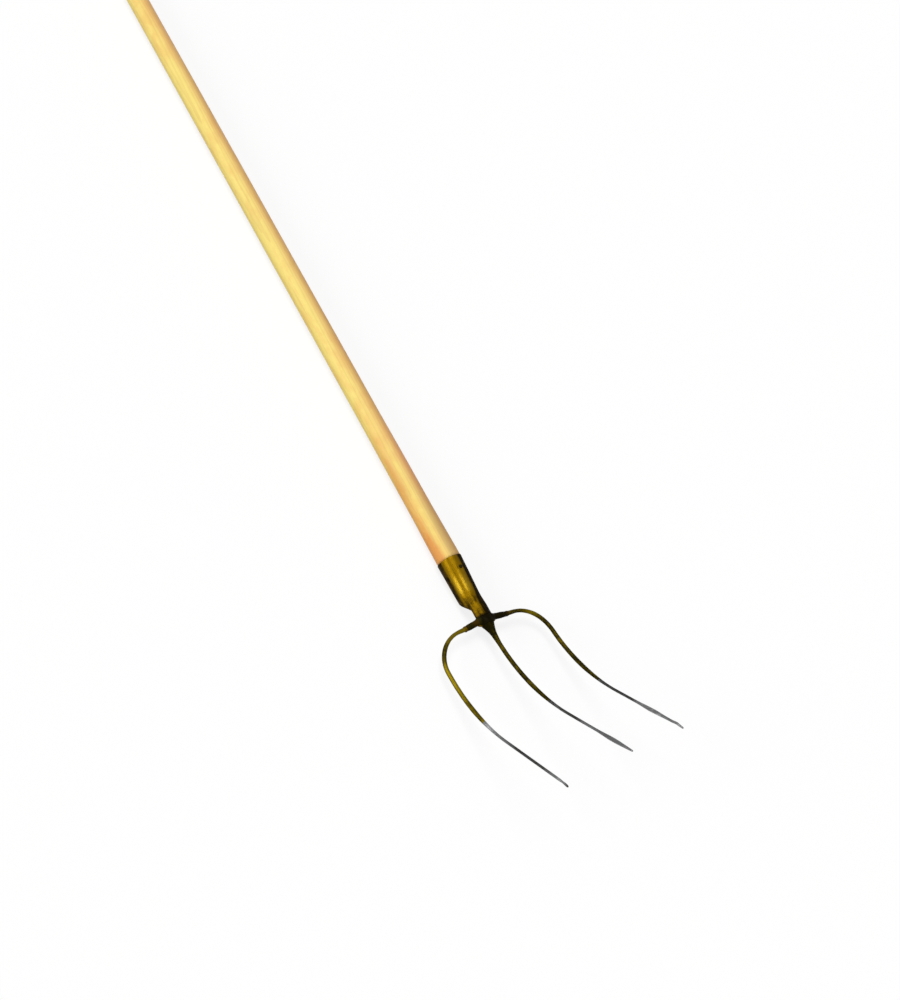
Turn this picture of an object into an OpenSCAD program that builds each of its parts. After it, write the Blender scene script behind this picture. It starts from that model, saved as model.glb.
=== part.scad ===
// Three-tine fork: a long wooden handle in a rolled sheet socket, and a forged hub with three
// curved steel tines. It lies with its hollow side up, the points towards +X.
// The modules are drawn with the middle of the hub at the origin and the handle's axis on the
// X axis. on_ground() then moves each piece, so that the fork's origin is at the middle of its
// base: halfway along, halfway across, on the surface that it lies on.
// Left and right are those of the person who holds the handle: left is +Y.

/* [Handle] */
// Diameter of the shaft
handle_d = 32; // [29:0.5:36]
// Whole length of the wood, with the end inside the socket
handle_len = 1350; // [900:10:1600]
// Length of the whittled end inside the socket
handle_insert = 44; // [36:1:46]
// Rounding at the free end
handle_round = 10; // [4:1:14]
// What the shaft gains in diameter at the socket's mouth
handle_swell = 1.8; // [0:0.1:3]
// Length over which it gains that
handle_swell_len = 90; // [40:5:200]
// Length of the bevel between the swell and the socket's mouth
handle_bevel = 1.5; // [0.5:0.1:3]

/* [Socket] */
// Distance from the socket's mouth to the middle of the hub
mouth_to_hub = 90; // [84:1:110]
// Thickness of the rolled sheet
sheet = 1.5; // [1:0.1:2]
// Half angle of the socket's cone, in degrees
socket_taper = 2; // [1:0.1:3]
// Length of the closed tube along the underside
tube_len = 48; // [47:1:56]
// Width of the open seam along the underside
seam_gap = 2.5; // [1:0.1:5]
// Outer radius of the tongue that runs over the neck
tongue_r = 15.2; // [14:0.1:17]
// Half of the arc that the tongue covers, in degrees from the top
tongue_arc = 62; // [56:1:66]
// Length of the straight part of the tongue, behind the hub
tongue_len = 12; // [8:1:16]

/* [Nail] */
// Distance from the socket's mouth to the nail
nail_back = 18; // [12:1:28]
// Diameter of the nail's shank
nail_d = 3; // [2:0.1:4]
// Diameter of the nail's head
nail_head_d = 5; // [4.5:0.1:7]
// Height of the nail's head
nail_head_h = 1.2; // [0.8:0.1:2]
// Length of the nail under its head
nail_len = 22; // [14:1:26]

/* [Hub] */
// Height of the tine roots above the handle's axis
hub_rise = 6.5; // [5:0.1:8]
// Half width of the neck
neck_half_w = 9.5; // [8.5:0.1:10]
// Height of the neck's flat underside above the handle's axis
neck_low = 2.5; // [1:0.1:4]
// Length of the tang inside the socket, behind the middle of the hub
tang_len = 38; // [30:1:42]
// Half width of the hub's shoulder, in front of the tongue
shoulder_half_w = 10.2; // [9.5:0.1:11]
// Distance from the middle of the hub to its front face
hub_front = 12; // [10:0.5:14]
// Diameter of each arm at the hub
arm_root_d = 10; // [8:0.1:11]
// Diameter of each arm along its length
arm_d = 8.3; // [7.5:0.1:9.5]
// Distance from the middle of the fork to the end of each arm
arm_reach = 34; // [30:1:38]
// Distance that each arm's end lies ahead of the middle of the hub
arm_ahead = 7.3; // [5:0.1:9]
// Length of the narrowed end of each arm
arm_nose = 5; // [3:0.5:8]

/* [Tines] */
// Diameter of a tine along its painted length
tine_d = 6.1; // [5:0.1:7]
// Diameter where an outer tine meets its arm
outer_root_d = 6.6; // [6:0.1:7.2]
// Diameter at the thinnest place before the shoulder bend
outer_waist_d = 5.2; // [4.6:0.1:6]
// Diameter of the flared root of the centre tine
centre_root_d = 18; // [14:0.5:18]
// Distance over which that root narrows
centre_root_len = 18; // [12:0.5:24]
// Distance between the outer tines, after their shoulder bends
tine_spread = 180; // [150:1:220]
// Radius of the shoulder bends, seen from above
shoulder_r = 46; // [36:1:52]
// Forward lean of the outer tines before their shoulder bends, in degrees
shoulder_lean = 3; // [0:0.5:8]
// Outward splay of the outer tines after their shoulder bends, in degrees
tine_splay = 2.2; // [0:0.1:5]
// Distance from the hub to the point of the centre tine, along the handle
centre_reach = 248; // [210:1:300]
// Distance from the hub to the points of the outer tines, along the handle
outer_reach = 250; // [210:1:300]
// Where the centre tine starts to curve upwards
centre_curve_x = 32; // [20:1:50]
// Radius of the centre tine's upward curve
centre_curve_r = 216; // [180:1:280]
// Slope of the centre tine before its curve, in degrees
centre_slope_in = 2.2; // [0:0.1:4]
// Slope of the centre tine after its curve, in degrees
centre_slope_out = 42; // [30:0.5:50]
// Where the outer tines start to curve upwards
outer_curve_x = 31; // [20:1:50]
// Radius of the outer tines' upward curve
outer_curve_r = 196; // [160:1:260]
// Downward slope of the outer tines before their curve, in degrees
outer_slope_in = 2.2; // [0:0.1:4]
// Slope of the outer tines after their curve, in degrees
outer_slope_out = 40.4; // [30:0.1:50]

/* [Points] */
// Where the grinding starts, along the handle's direction
grind_from = 112; // [90:1:130]
// Length over which the ground part narrows
grind_len = 40; // [20:1:60]
// Diameter of the bare, ground part
bare_d = 3.9; // [3.2:0.1:4.6]
// Diameter just before the sharpened point
bare_end_d = 3.5; // [3:0.1:4.2]
// Length of the sharpened point
point_len = 10; // [8:1:24]
// Diameter of the blunt end of the point
point_end_d = 2.2; // [0.8:0.1:2.6]
// How far the worn points of the outer tines are turned down
point_droop = 1.8; // [0:0.1:3]
// Length over which they are turned down
droop_len = 10; // [6:1:20]
// Extra width of the hammered flat near the points
flat_extra = 4.2; // [0:0.1:5]
// Length of the hammered flat
flat_len = 46; // [24:1:48]
// Distance from the middle of the centre tine's flat to its point
centre_flat_back = 24; // [24:1:60]
// Distance from the middle of the left tine's flat to its point
left_flat_back = 39; // [24:1:60]

/* [Weld beads] */
// Thickness of the bead around each outer tine, where it meets its arm
arm_bead = 0.9; // [0.5:0.1:1.5]
// Length of that bead
arm_bead_len = 3; // [2:0.5:5]
// Radius of the beads in the corners between the arms and the centre tine
root_bead_r = 2.3; // [2:0.1:3]
// How far they run along the arms
root_bead_run = 4.2; // [2:0.1:6]
// Radius of the beads under the tongue's edges
neck_bead_r = 1.1; // [0.8:0.1:1.2]

/* [Clearances] */
// Radial gap between the wood and the sheet
wood_gap = 0.2; // [0.1:0.05:0.4]
// Gap between steel pieces that are welded to each other
steel_gap = 0.1; // [0.05:0.05:0.2]

/* [Hidden] */

wood_colour = [0.87, 0.72, 0.45];
gold_colour = [0.60, 0.46, 0.08];
dark_gold_colour = [0.30, 0.25, 0.06];
nail_colour = [0.16, 0.12, 0.07];

round_fn = 96;         // sides of the round pieces
hull_fn = 32;          // sides of what goes into a hull
tine_sides = 12;       // sides of a tine
outer_rings = 64;      // rings along an outer tine, before its point
centre_rings = 48;     // rings along the centre tine, before its point
point_rings = 4;       // rings along a sharpened point
sheet_steps = 32;      // steps round the rolled sheet
cut_steps = 14;        // steps along the slanted end of the sheet
end_steps = 6;         // steps round the handle's free end
swell_steps = 8;       // steps along the handle's swell
sliver = 0.02;         // thickness of the slices that a hull joins

// Socket: radius and height of its centre line, by distance from the hub
mouth_x = -mouth_to_hub;
mouth_r = handle_d / 2 + wood_gap + sheet;
tube_end_x = mouth_x + tube_len;
function cone_drop(x) = (x - mouth_x) * tan(socket_taper);
// The cone ends a little ahead of the tang's back end, and eases into the tongue from there
cone_past_tang = 2;
cone_end_x = -tang_len + cone_past_tang;
function ease(u) = u <= 0 ? 0 : u >= 1 ? 1 : u * u * (3 - 2 * u);
function neck_part(x) = ease((x - cone_end_x) / (-tongue_len - cone_end_x));
function sheet_r(x) = (mouth_r - cone_drop(x)) * (1 - neck_part(x)) + tongue_r * neck_part(x);
function sheet_z(x) = -cone_drop(x) * (1 - neck_part(x));

// Half of the arc that the sheet covers, in degrees from the top
seam_arc = 180 - asin(seam_gap / 2 / mouth_r);
cut_curve = 1.25;
function cut_part(x) = pow(max(0, (-tongue_len - x) / (-tongue_len - tube_end_x)), cut_curve);
function sheet_arc(x) = x <= tube_end_x
    ? seam_arc : tongue_arc + (seam_arc - tongue_arc) * cut_part(x);

// Height of a tine above the handle's axis: a straight, an arc and another straight.
// A side is [start of the arc, radius, slope before, slope after]
centre_side = [centre_curve_x, centre_curve_r, centre_slope_in, centre_slope_out];
outer_side = [outer_curve_x, outer_curve_r, -outer_slope_in, outer_slope_out];
function arc_x(s) = s[0] - s[1] * sin(s[2]);
function arc_z(s) = hub_rise + s[0] * tan(s[2]) + s[1] * cos(s[2]);
function rise(x, s) =
    x < s[0] ? hub_rise + x * tan(s[2])
    : x < arc_x(s) + s[1] * sin(s[3]) ? arc_z(s) - sqrt(s[1] * s[1] - pow(x - arc_x(s), 2))
    : arc_z(s) - s[1] * cos(s[3]) + (x - arc_x(s) - s[1] * sin(s[3])) * tan(s[3]);

// Plan of an outer tine, by distance from its arm: a run, the shoulder bend and the leg
run = (tine_spread / 2 - arm_reach - shoulder_r * (cos(tine_splay) - sin(shoulder_lean)))
      / cos(shoulder_lean);
bend_turn = 90 - shoulder_lean - tine_splay;
bend_len = shoulder_r * bend_turn * PI / 180;
run_end = [arm_ahead + run * sin(shoulder_lean), arm_reach + run * cos(shoulder_lean)];
bend_mid = run_end + shoulder_r * [cos(shoulder_lean), -sin(shoulder_lean)];
bend_end = bend_mid + shoulder_r * [-sin(tine_splay), cos(tine_splay)];
outer_plan_len = run + bend_len + (outer_reach - bend_end[0]) / cos(tine_splay);
function bend_heading(t) = 90 - shoulder_lean - (t - run) / bend_len * bend_turn;
function outer_plan(t) =
    t < run ? [arm_ahead + t * sin(shoulder_lean), arm_reach + t * cos(shoulder_lean)]
    : t < run + bend_len
      ? bend_mid + shoulder_r * [-sin(bend_heading(t)), cos(bend_heading(t))]
    : bend_end + (t - run - bend_len) * [cos(tine_splay), sin(tine_splay)];
function droop(back) = back < droop_len ? point_droop * pow(1 - back / droop_len, 2) : 0;
function outer_point(t) = let (p = outer_plan(t))
    [p[0], p[1], rise(p[0], outer_side) - droop(outer_plan_len - t)];
function centre_point(t) = [hub_front + t, 0, rise(hub_front + t, centre_side)];
centre_plan_len = centre_reach - hub_front;

// The fork lies on the lower edges of the seam, at the socket's mouth. Its length is measured to
// the upper edge of the blunt end that reaches furthest
ground_z = mouth_r * cos(180 - seam_arc);
handle_free = handle_len - handle_insert;
back_x = mouth_x - handle_free;
blunt_r = point_end_d / 2;
outer_end = outer_point(outer_plan_len) - outer_point(outer_plan_len - point_len / point_rings);
front_x = max(centre_reach + blunt_r * sin(centre_slope_out),
              outer_reach + blunt_r * outer_end[2] / norm(outer_end));
module on_ground() {
    translate([-(back_x + front_x) / 2, 0, ground_z]) children();
}

// Thickness of a tine. Grinding starts at the same distance ahead of the hub on all three
ground_table = [[grind_from, tine_d], [grind_from + grind_len, bare_d],
                [min(centre_reach, outer_reach) - point_len, bare_end_d]];
waist_past_run = 6;
waist_at = run + waist_past_run;
full_at = run + bend_len / 2;
outer_root_table = [[0, outer_root_d], [waist_at, outer_waist_d], [full_at, tine_d]];
function outer_d(t) = t < full_at ? lookup(t, outer_root_table)
                                  : lookup(outer_plan(t)[0], ground_table);
flare_power = 1.6;
flare_end_d = 8;
flare_run = 12;
function centre_d(t) =
    t < centre_root_len
    ? flare_end_d + (centre_root_d - flare_end_d) * pow(1 - t / centre_root_len, flare_power)
    : t < centre_root_len + flare_run
      ? lookup(t, [[centre_root_len, flare_end_d], [centre_root_len + flare_run, tine_d]])
      : lookup(hub_front + t, ground_table);

// A flat swells and dies away again within its length. flat_back is 0 for a tine without one
function swell(back, flat_back) = flat_back > 0 && abs(back - flat_back) < flat_len / 2
    ? flat_extra * (1 + cos(360 * (back - flat_back) / flat_len)) / 2 : 0;
// The point narrows to its blunt end
point_power = 1.5;
function sharpen(u, d) = d + (point_end_d - d) * pow(u, point_power);

// Rings of a tine: each is [place, width across, thickness]. The centre tine's stand closer
// together near its root
ring_power = 1.25;
function ring(p, d, extra) = [p, d + extra, d];
function outer_ring_list(flat_back) = concat(
    [for (i = [0 : outer_rings])
        let (t = i / outer_rings * (outer_plan_len - point_len))
        ring(outer_point(t), outer_d(t), swell(outer_plan_len - t, flat_back))],
    [for (k = [1 : point_rings])
        let (t = outer_plan_len - point_len + k / point_rings * point_len)
        ring(outer_point(t), sharpen(k / point_rings, outer_d(outer_plan_len - point_len)),
             swell(outer_plan_len - t, flat_back))]);
centre_ring_list = concat(
    [for (i = [0 : centre_rings])
        let (t = pow(i / centre_rings, ring_power) * (centre_plan_len - point_len))
        ring(centre_point(t), centre_d(t), swell(centre_plan_len - t, centre_flat_back))],
    [for (k = [1 : point_rings])
        let (t = centre_plan_len - point_len + k / point_rings * point_len)
        ring(centre_point(t), sharpen(k / point_rings, centre_d(centre_plan_len - point_len)),
             swell(centre_plan_len - t, centre_flat_back))]);

// A tine through a list of rings. Each ring stands square to the way on, but the first is upright
// or square to its arm, as start says
function unit(v) = v / norm(v);
function way(rings, i, start) =
    i == 0 ? unit(start)
    : i == len(rings) - 1 ? unit(rings[i][0] - rings[i - 1][0])
    : unit(rings[i + 1][0] - rings[i - 1][0]);
function ring_points(r, forward) =
    let (across = unit(cross([0, 0, 1], forward)), up = cross(forward, across))
    [for (j = [0 : tine_sides - 1])
        r[0] + across * r[1] / 2 * cos(360 * j / tine_sides)
             + up * r[2] / 2 * sin(360 * j / tine_sides)];
module tine(rings, start) {
    n = tine_sides;
    last = (len(rings) - 1) * n;
    points = [for (i = [0 : len(rings) - 1]) each ring_points(rings[i], way(rings, i, start))];
    sides = [for (i = [0 : len(rings) - 2], j = [0 : n - 1])
        let (a = i * n + j, b = i * n + (j + 1) % n)
        each [[a, a + n, b + n], [a, b + n, b]]];
    caps = [for (j = [1 : n - 2]) each [[0, j, j + 1], [last, last + j + 1, last + j]]];
    polyhedron(points, concat(sides, caps));
}

// Handle: a round shaft with a rounded free end, and a cone that is whittled to fit the socket.
// The cone starts just inside the shaft, a little thinner, which leaves a fine shoulder
whittle_lap = 1;
module handle() {
    flat_r = handle_d / 2 - handle_round;
    small_r = sheet_r(mouth_x + handle_insert) - sheet - wood_gap;
    round_end = [for (i = [0 : end_steps])
        let (a = 90 * i / end_steps)
        [flat_r + handle_round * sin(a), handle_round * (1 - cos(a))]];
    swell = [for (i = [0 : swell_steps])
        let (u = i / swell_steps)
        [(handle_d + handle_swell * ease(u)) / 2,
         handle_free - handle_swell_len + (handle_swell_len - handle_bevel) * u]];
    color(wood_colour) on_ground() difference() {
        union() {
            translate([back_x, 0, 0]) rotate([0, 90, 0])
                rotate_extrude($fn = round_fn)
                    polygon(concat([[0, 0]], round_end, swell,
                                   [[handle_d / 2, handle_free], [0, handle_free]]));
            translate([mouth_x, 0, 0]) rotate([0, 90 + socket_taper, 0])
                translate([0, 0, -whittle_lap])
                    cylinder(h = handle_insert + whittle_lap, r1 = handle_d / 2 - wood_gap,
                             r2 = small_r, $fn = round_fn);
        }
        nail_hole(nail_d + 2 * steel_gap);
    }
}

// Socket: one sheet, rolled to an open-seamed tube, cut away below and drawn out to a tongue
sheet_x = concat([mouth_x, mouth_x + tube_len / 2],
                 [for (i = [0 : cut_steps])
                     tube_end_x + (-tongue_len - tube_end_x) * i / cut_steps],
                 [-tongue_len / 2, 0]);
function sheet_point(x, a, r) = [x, r * sin(a), sheet_z(x) + r * cos(a)];
module socket() {
    m = sheet_steps + 1;
    rows = len(sheet_x);
    points = [for (x = sheet_x, j = [0 : sheet_steps])
        let (a = sheet_arc(x) * (1 - 2 * j / sheet_steps))
        each [sheet_point(x, a, sheet_r(x)), sheet_point(x, a, sheet_r(x) - sheet)]];
    outer = [for (i = [0 : rows - 2], j = [0 : sheet_steps - 1])
        let (a = (i * m + j) * 2, b = a + 2, c = a + 2 * m, d = c + 2)
        each [[a, c, d], [a, d, b]]];
    inner = [for (i = [0 : rows - 2], j = [0 : sheet_steps - 1])
        let (a = (i * m + j) * 2 + 1, b = a + 2, c = a + 2 * m, d = c + 2)
        each [[a, d, c], [a, b, d]]];
    edges = [for (i = [0 : rows - 2])
        let (a = i * m * 2, c = a + 2 * m, e = a + 2 * sheet_steps, g = e + 2 * m)
        each [[a, a + 1, c + 1], [a, c + 1, c], [e, g + 1, e + 1], [e, g, g + 1]]];
    last = (rows - 1) * m * 2;
    ends = [for (j = [0 : sheet_steps - 1])
        let (a = 2 * j, b = last + 2 * j)
        each [[a, a + 2, a + 3], [a, a + 3, a + 1], [b, b + 3, b + 2], [b, b + 1, b + 3]]];
    color(gold_colour) on_ground() difference() {
        polyhedron(points, concat(outer, inner, edges, ends));
        nail_hole(nail_d + 2 * steel_gap);
    }
}

// Nail: it is driven square to the socket's upper side
nail_x = mouth_x + nail_back;
module at_nail() {
    translate([nail_x, 0, sheet_z(nail_x) + sheet_r(nail_x)]) rotate([0, 2 * socket_taper, 0])
        children();
}
module nail_hole(d) {
    at_nail() translate([0, 0, -nail_len - steel_gap])
        cylinder(h = nail_len + sheet, d = d, $fn = hull_fn);
}
module socket_nail() {
    color(nail_colour) on_ground() at_nail() {
        translate([0, 0, -nail_len])
            cylinder(h = nail_len + nail_head_h / 2, d = nail_d, $fn = hull_fn);
        cylinder(h = nail_head_h / 2, d = nail_head_d, $fn = hull_fn);
        translate([0, 0, nail_head_h / 2])
            cylinder(h = nail_head_h / 2, d1 = nail_head_d, d2 = nail_head_d / 2, $fn = hull_fn);
    }
}

// Hub: a tang and neck under the tongue, a shoulder, a round front face and two arms
tang_back_x = -tang_len;
tang_gap = 2;          // between the tang's top and the sheet
tang_half_w = 7.5;
arm_from_x = 3.25;     // where the axis of an arm leaves the middle of the hub
arm_over = 1;          // how far an arm runs on, before it is cut square to its tine
module slice(x, r, z, half_w, low) {
    translate([x, 0, z]) intersection() {
        rotate([0, 90, 0]) cylinder(h = sliver, r = r, $fn = 2 * hull_fn);
        translate([0, -half_w, low - z]) cube([sliver, 2 * half_w, 2 * r]);
    }
}
module arm(side) {
    from = [arm_from_x, 0, hub_rise];
    to = [arm_ahead, side * arm_reach, rise(arm_ahead, outer_side)];
    long = norm(to - from) + arm_over;
    half = long / 2;
    turn = side * (90 - atan((to[0] - from[0]) / arm_reach));
    tilt = acos((to[2] - from[2]) / long);
    difference() {
        translate(from) rotate([0, tilt, turn]) {
            cylinder(h = half, d1 = arm_root_d, d2 = arm_d, $fn = round_fn);
            translate([0, 0, half]) cylinder(h = half - arm_nose, d = arm_d, $fn = round_fn);
            translate([0, 0, long - arm_nose])
                cylinder(h = arm_nose, d1 = arm_d, d2 = outer_root_d, $fn = round_fn);
        }
        at_arm_end(side) translate([0, 0, -steel_gap])
            cylinder(h = arm_d, r = arm_d, $fn = hull_fn);
    }
}
// The place where an arm ends and its tine starts, with Z along the tine
module at_arm_end(side) {
    translate([arm_ahead, side * arm_reach, rise(arm_ahead, outer_side)])
        rotate([0, 90, side * (90 - shoulder_lean)]) children();
}
module hub_body() {
    neck_r = tongue_r - sheet - steel_gap;
    tang_r = sheet_r(tang_back_x) - sheet - tang_gap;
    hull() {
        slice(tang_back_x, tang_r, sheet_z(tang_back_x), tang_half_w, neck_low);
        slice(-tongue_len, neck_r, 0, neck_half_w, neck_low);
    }
    hull() {
        slice(-tongue_len, neck_r, 0, neck_half_w, neck_low);
        slice(steel_gap, neck_r, 0, neck_half_w, neck_low);
    }
    hull() {
        slice(steel_gap, tongue_r - steel_gap, 0, shoulder_half_w, neck_low / 2);
        translate([hub_front - steel_gap - sliver, 0, rise(hub_front, centre_side)])
            rotate([0, 90, 0]) cylinder(h = sliver, d = centre_root_d, $fn = hull_fn);
    }
    for (side = [-1, 1]) arm(side);
}
module hub() {
    color(dark_gold_colour) on_ground() hub_body();
}

// Tines
module centre_body() {
    tine(centre_ring_list, [1, 0, 0]);
}
module outer_body(flat_back) {
    tine(outer_ring_list(flat_back), [sin(shoulder_lean), cos(shoulder_lean), 0]);
}
module tine_centre() {
    color(gold_colour) on_ground() centre_body();
}
module tine_left() {
    color(gold_colour) on_ground() outer_body(left_flat_back);
}
module tine_right() {
    color(gold_colour) on_ground() mirror([0, 1, 0]) outer_body(0);
}

// Weld beads. The outline of an arm's bead is in parts of its thickness and of its length
bead_outline = [[0, 0], [0.8, 0.07], [1, 0.35], [0.7, 0.75], [0, 1]];
module arm_beads() {
    inner_r = outer_root_d / 2 + steel_gap;
    color(gold_colour) on_ground() for (side = [-1, 1]) at_arm_end(side)
        rotate_extrude($fn = round_fn)
            polygon([for (p = bead_outline) [inner_r + arm_bead * p[0], arm_bead_len * p[1]]]);
}
// A root bead lies in the corner of the hub's front face and an arm, beside the centre tine, and
// runs out along the arm, a little thinner
root_bead_back = 1.7;
root_bead_beside = 0.6;
root_bead_below = 1;
root_bead_lean = 2;    // how far it runs back over that length
root_bead_thin = 0.3;
module root_beads() {
    color(gold_colour) on_ground() difference() {
        for (side = [-1, 1])
            translate([hub_front - root_bead_back, side * (centre_root_d / 2 + root_bead_beside),
                       hub_rise - root_bead_below])
                hull() {
                    sphere(r = root_bead_r, $fn = hull_fn);
                    translate([-root_bead_lean, side * root_bead_run, 0])
                        sphere(r = root_bead_r - root_bead_thin, $fn = hull_fn);
                }
        hub_body();
        centre_body();
    }
}
module neck_beads() {
    bead_y = neck_half_w + neck_bead_r + steel_gap;
    bead_z = sqrt(pow(tongue_r - sheet - neck_bead_r - steel_gap, 2) - bead_y * bead_y);
    color(dark_gold_colour) on_ground() for (side = [-1, 1])
        translate([-tongue_len + neck_bead_r, side * bead_y, bead_z]) rotate([0, 90, 0])
            cylinder(h = tongue_len - 2 * neck_bead_r, r = neck_bead_r, $fn = hull_fn);
}

handle();
socket();
socket_nail();
hub();
tine_left();
tine_centre();
tine_right();
arm_beads();
root_beads();
neck_beads();
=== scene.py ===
import bpy
import bmesh
import math
from mathutils import Matrix, Vector, noise


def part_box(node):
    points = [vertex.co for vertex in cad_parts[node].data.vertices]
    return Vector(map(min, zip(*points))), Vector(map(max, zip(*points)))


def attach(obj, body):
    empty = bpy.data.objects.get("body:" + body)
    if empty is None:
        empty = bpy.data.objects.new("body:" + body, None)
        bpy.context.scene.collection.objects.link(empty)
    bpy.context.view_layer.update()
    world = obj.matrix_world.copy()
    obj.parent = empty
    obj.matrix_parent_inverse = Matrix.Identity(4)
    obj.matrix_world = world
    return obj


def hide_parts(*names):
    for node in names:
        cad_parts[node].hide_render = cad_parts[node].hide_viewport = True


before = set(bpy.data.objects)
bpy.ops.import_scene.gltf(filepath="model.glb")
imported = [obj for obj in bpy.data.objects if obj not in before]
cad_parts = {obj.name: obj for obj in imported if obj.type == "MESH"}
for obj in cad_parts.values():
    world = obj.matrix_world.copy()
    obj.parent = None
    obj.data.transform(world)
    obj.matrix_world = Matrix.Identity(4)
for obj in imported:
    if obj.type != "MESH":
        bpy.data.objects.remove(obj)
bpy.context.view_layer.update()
scene = bpy.context.scene
mm = 0.001

# Sizes are in mm from the middle of the hub: X along the handle to the points, Z up on the hollow
# side. The hub's place comes from the CAD, as its front carries the centre tine. Smoothing
# shrinks the arms, so the extras thicken them first. leftDark and rightDark pair a distance from
# the middle with how dark the finish is there
hub = dict(
    front=12, neckHalf=9.5, neckLow=2.5, tangBack=-38, tangHalf=7.5, tangGap=2, skin=0.1,
    shoulderHalf=10.2, rootRadius=9, rise=6.5, armFrom=3.25, armAhead=7.3, armReach=34,
    armRootRadius=5, armRadius=4.15, armEndRadius=3.3, armNose=dict(left=8.5, right=5),
    armExtra=0.25, noseExtra=0.2, endExtra=0.3, filletFrom=8.5, filletTo=15, fillet=2.2,
    sliceSteps=20, voxel=0.5, smoothing=5, scaleDepth=0.16, scaleSize=5, grainSize=1.8,
    grainShare=0.5, scaleLevel=0.4, overlap=1, neckOverlap=0.5, noseOverlap=0.2,
    leftDark=[(5, 0.95), (8, 0.92), (12, 0.83), (15, 0.8)],
    rightDark=[(8, 0.95), (12, 0.5), (15, 0.1), (20, 0.1), (24, 0.3), (28, 0.38)])
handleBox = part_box("handle")
hubPlace = Vector((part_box("tine_centre")[0].x - hub["front"] * mm, 0,
                   (handleBox[0].z + handleBox[1].z) / 2))
print("frame loaded, hub at", [round(v, 4) for v in hubPlace])


def place(point):
    return hubPlace + Vector(point) * mm


def ease(u):
    u = max(0, min(1, u))
    return u * u * (3 - 2 * u)


def lookUp(x, table):  # straight lines between (x, value) pairs
    if x <= table[0][0]:
        return table[0][1]
    for (x0, v0), (x1, v1) in zip(table, table[1:]):
        if x <= x1:
            return v0 + (v1 - v0) * (x - x0) / (x1 - x0)
    return table[-1][1]


def rough(point, size, seed=0):  # slow noise from -1 to 1 at a place in mm
    return noise.noise(Vector(point) / size + Vector((seed, 3.7 * seed, -1.3 * seed)))


def turns(n):  # n angles around a ring
    return [2 * math.pi * j / n for j in range(n)]


def facet(a, x, seed, count, sway, size):  # 1 in the middle of a flat cut, 0 at its edges
    off = (a * count / (2 * math.pi) + sway * rough((x, 0, 0), size, seed)) % 1 - 0.5
    return 1 - 4 * off * off


def sweep(rings, caps=True):  # faces through rings of equal length, with fans at both ends
    n = len(rings[0])
    points = [p for ring in rings for p in ring]
    faces = [(i * n + j, i * n + (j + 1) % n, (i + 1) * n + (j + 1) % n, (i + 1) * n + j)
             for i in range(len(rings) - 1) for j in range(n)]
    if caps:
        for ring, first, turn in ((rings[0], 0, -1), (rings[-1], (len(rings) - 1) * n, 1)):
            middle = len(points)
            points.append(sum((Vector(p) for p in ring), Vector()) / n)
            faces += [(first + j, first + (j + 1) % n, middle)[::turn] for j in range(n)]
    return points, faces


def addObject(name, data):
    made = bpy.data.objects.new(name, data)
    scene.collection.objects.link(made)
    return made


def prepareMesh(mesh, lay, dark=None, bare=None):
    # lay is each point's place on the straightened piece, in mm, which the finish follows. dark is
    # how dark the finish is there, from 0 to 1, which on the socket and the tines is partly painted
    # shade and painted highlight, and bare how far past the lacquer's edge, in mm
    for polygon in mesh.polygons:
        polygon.use_smooth = True
    flat = [v for p in lay for v in p]
    mesh.attributes.new("lay", "FLOAT_VECTOR", "POINT").data.foreach_set("vector", flat)
    for label, values in (("dark", dark), ("bare", bare)):
        if isinstance(values, float):  # the same all over
            values = [values] * len(lay)
        if values:
            mesh.attributes.new(label, "FLOAT", "POINT").data.foreach_set("value", values)


def makePiece(name, points, faces, lay=None, dark=None, bare=None):
    mesh = bpy.data.meshes.new(name)
    mesh.from_pydata([place(p) for p in points], [], faces)
    prepareMesh(mesh, lay or points, dark, bare)
    mesh.update()
    return addObject(name, mesh)


def settle(piece, material, node):
    piece.data.materials.append(material)
    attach(piece, "root")
    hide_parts(node)


# Finishes. Effects that several share are node groups
def put(tree, kind, values=None, links=None, **settings):
    made = tree.nodes.new(kind)
    for key, value in settings.items():
        setattr(made, key, value)
    for key, value in (values or {}).items():
        made.inputs[key].default_value = value
    for key, source in (links or {}).items():
        tree.links.new(source, made.inputs[key])
    return made


def give(tree, target, value):  # value is a number, a colour or another node's output
    if isinstance(value, (int, float)):
        target.default_value = value
    elif isinstance(value, tuple):
        target.default_value = (*value, 1)
    else:
        tree.links.new(value, target)


def calculate(tree, operation, *values, clamp=False):
    made = put(tree, "ShaderNodeMath", operation=operation, use_clamp=clamp)
    for index, value in enumerate(values):
        give(tree, made.inputs[index], value)
    return made.outputs[0]


def plus(tree, first, *rest):
    for value in rest:
        first = calculate(tree, "ADD", first, value)
    return first


def minus(tree, a, b):
    return calculate(tree, "SUBTRACT", a, b)


def times(tree, a, b):
    return calculate(tree, "MULTIPLY", a, b)


def over(tree, a, b):
    return calculate(tree, "DIVIDE", a, b)


def mixColours(tree, factor, a, b):
    made = put(tree, "ShaderNodeMix", data_type="RGBA")
    for index, value in ((0, factor), (6, a), (7, b)):  # the sockets of a mix of colours
        give(tree, made.inputs[index], value)
    return made.outputs[2]


def spread(tree, value, low, high, toLow=0, toHigh=1):  # a ramp that eases in and out
    made = put(tree, "ShaderNodeMapRange", interpolation_type="SMOOTHSTEP")
    for label, part in (("Value", value), ("From Min", low), ("From Max", high),
                        ("To Min", toLow), ("To Max", toHigh)):
        give(tree, made.inputs[label], part)
    return made.outputs["Result"]


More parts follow.
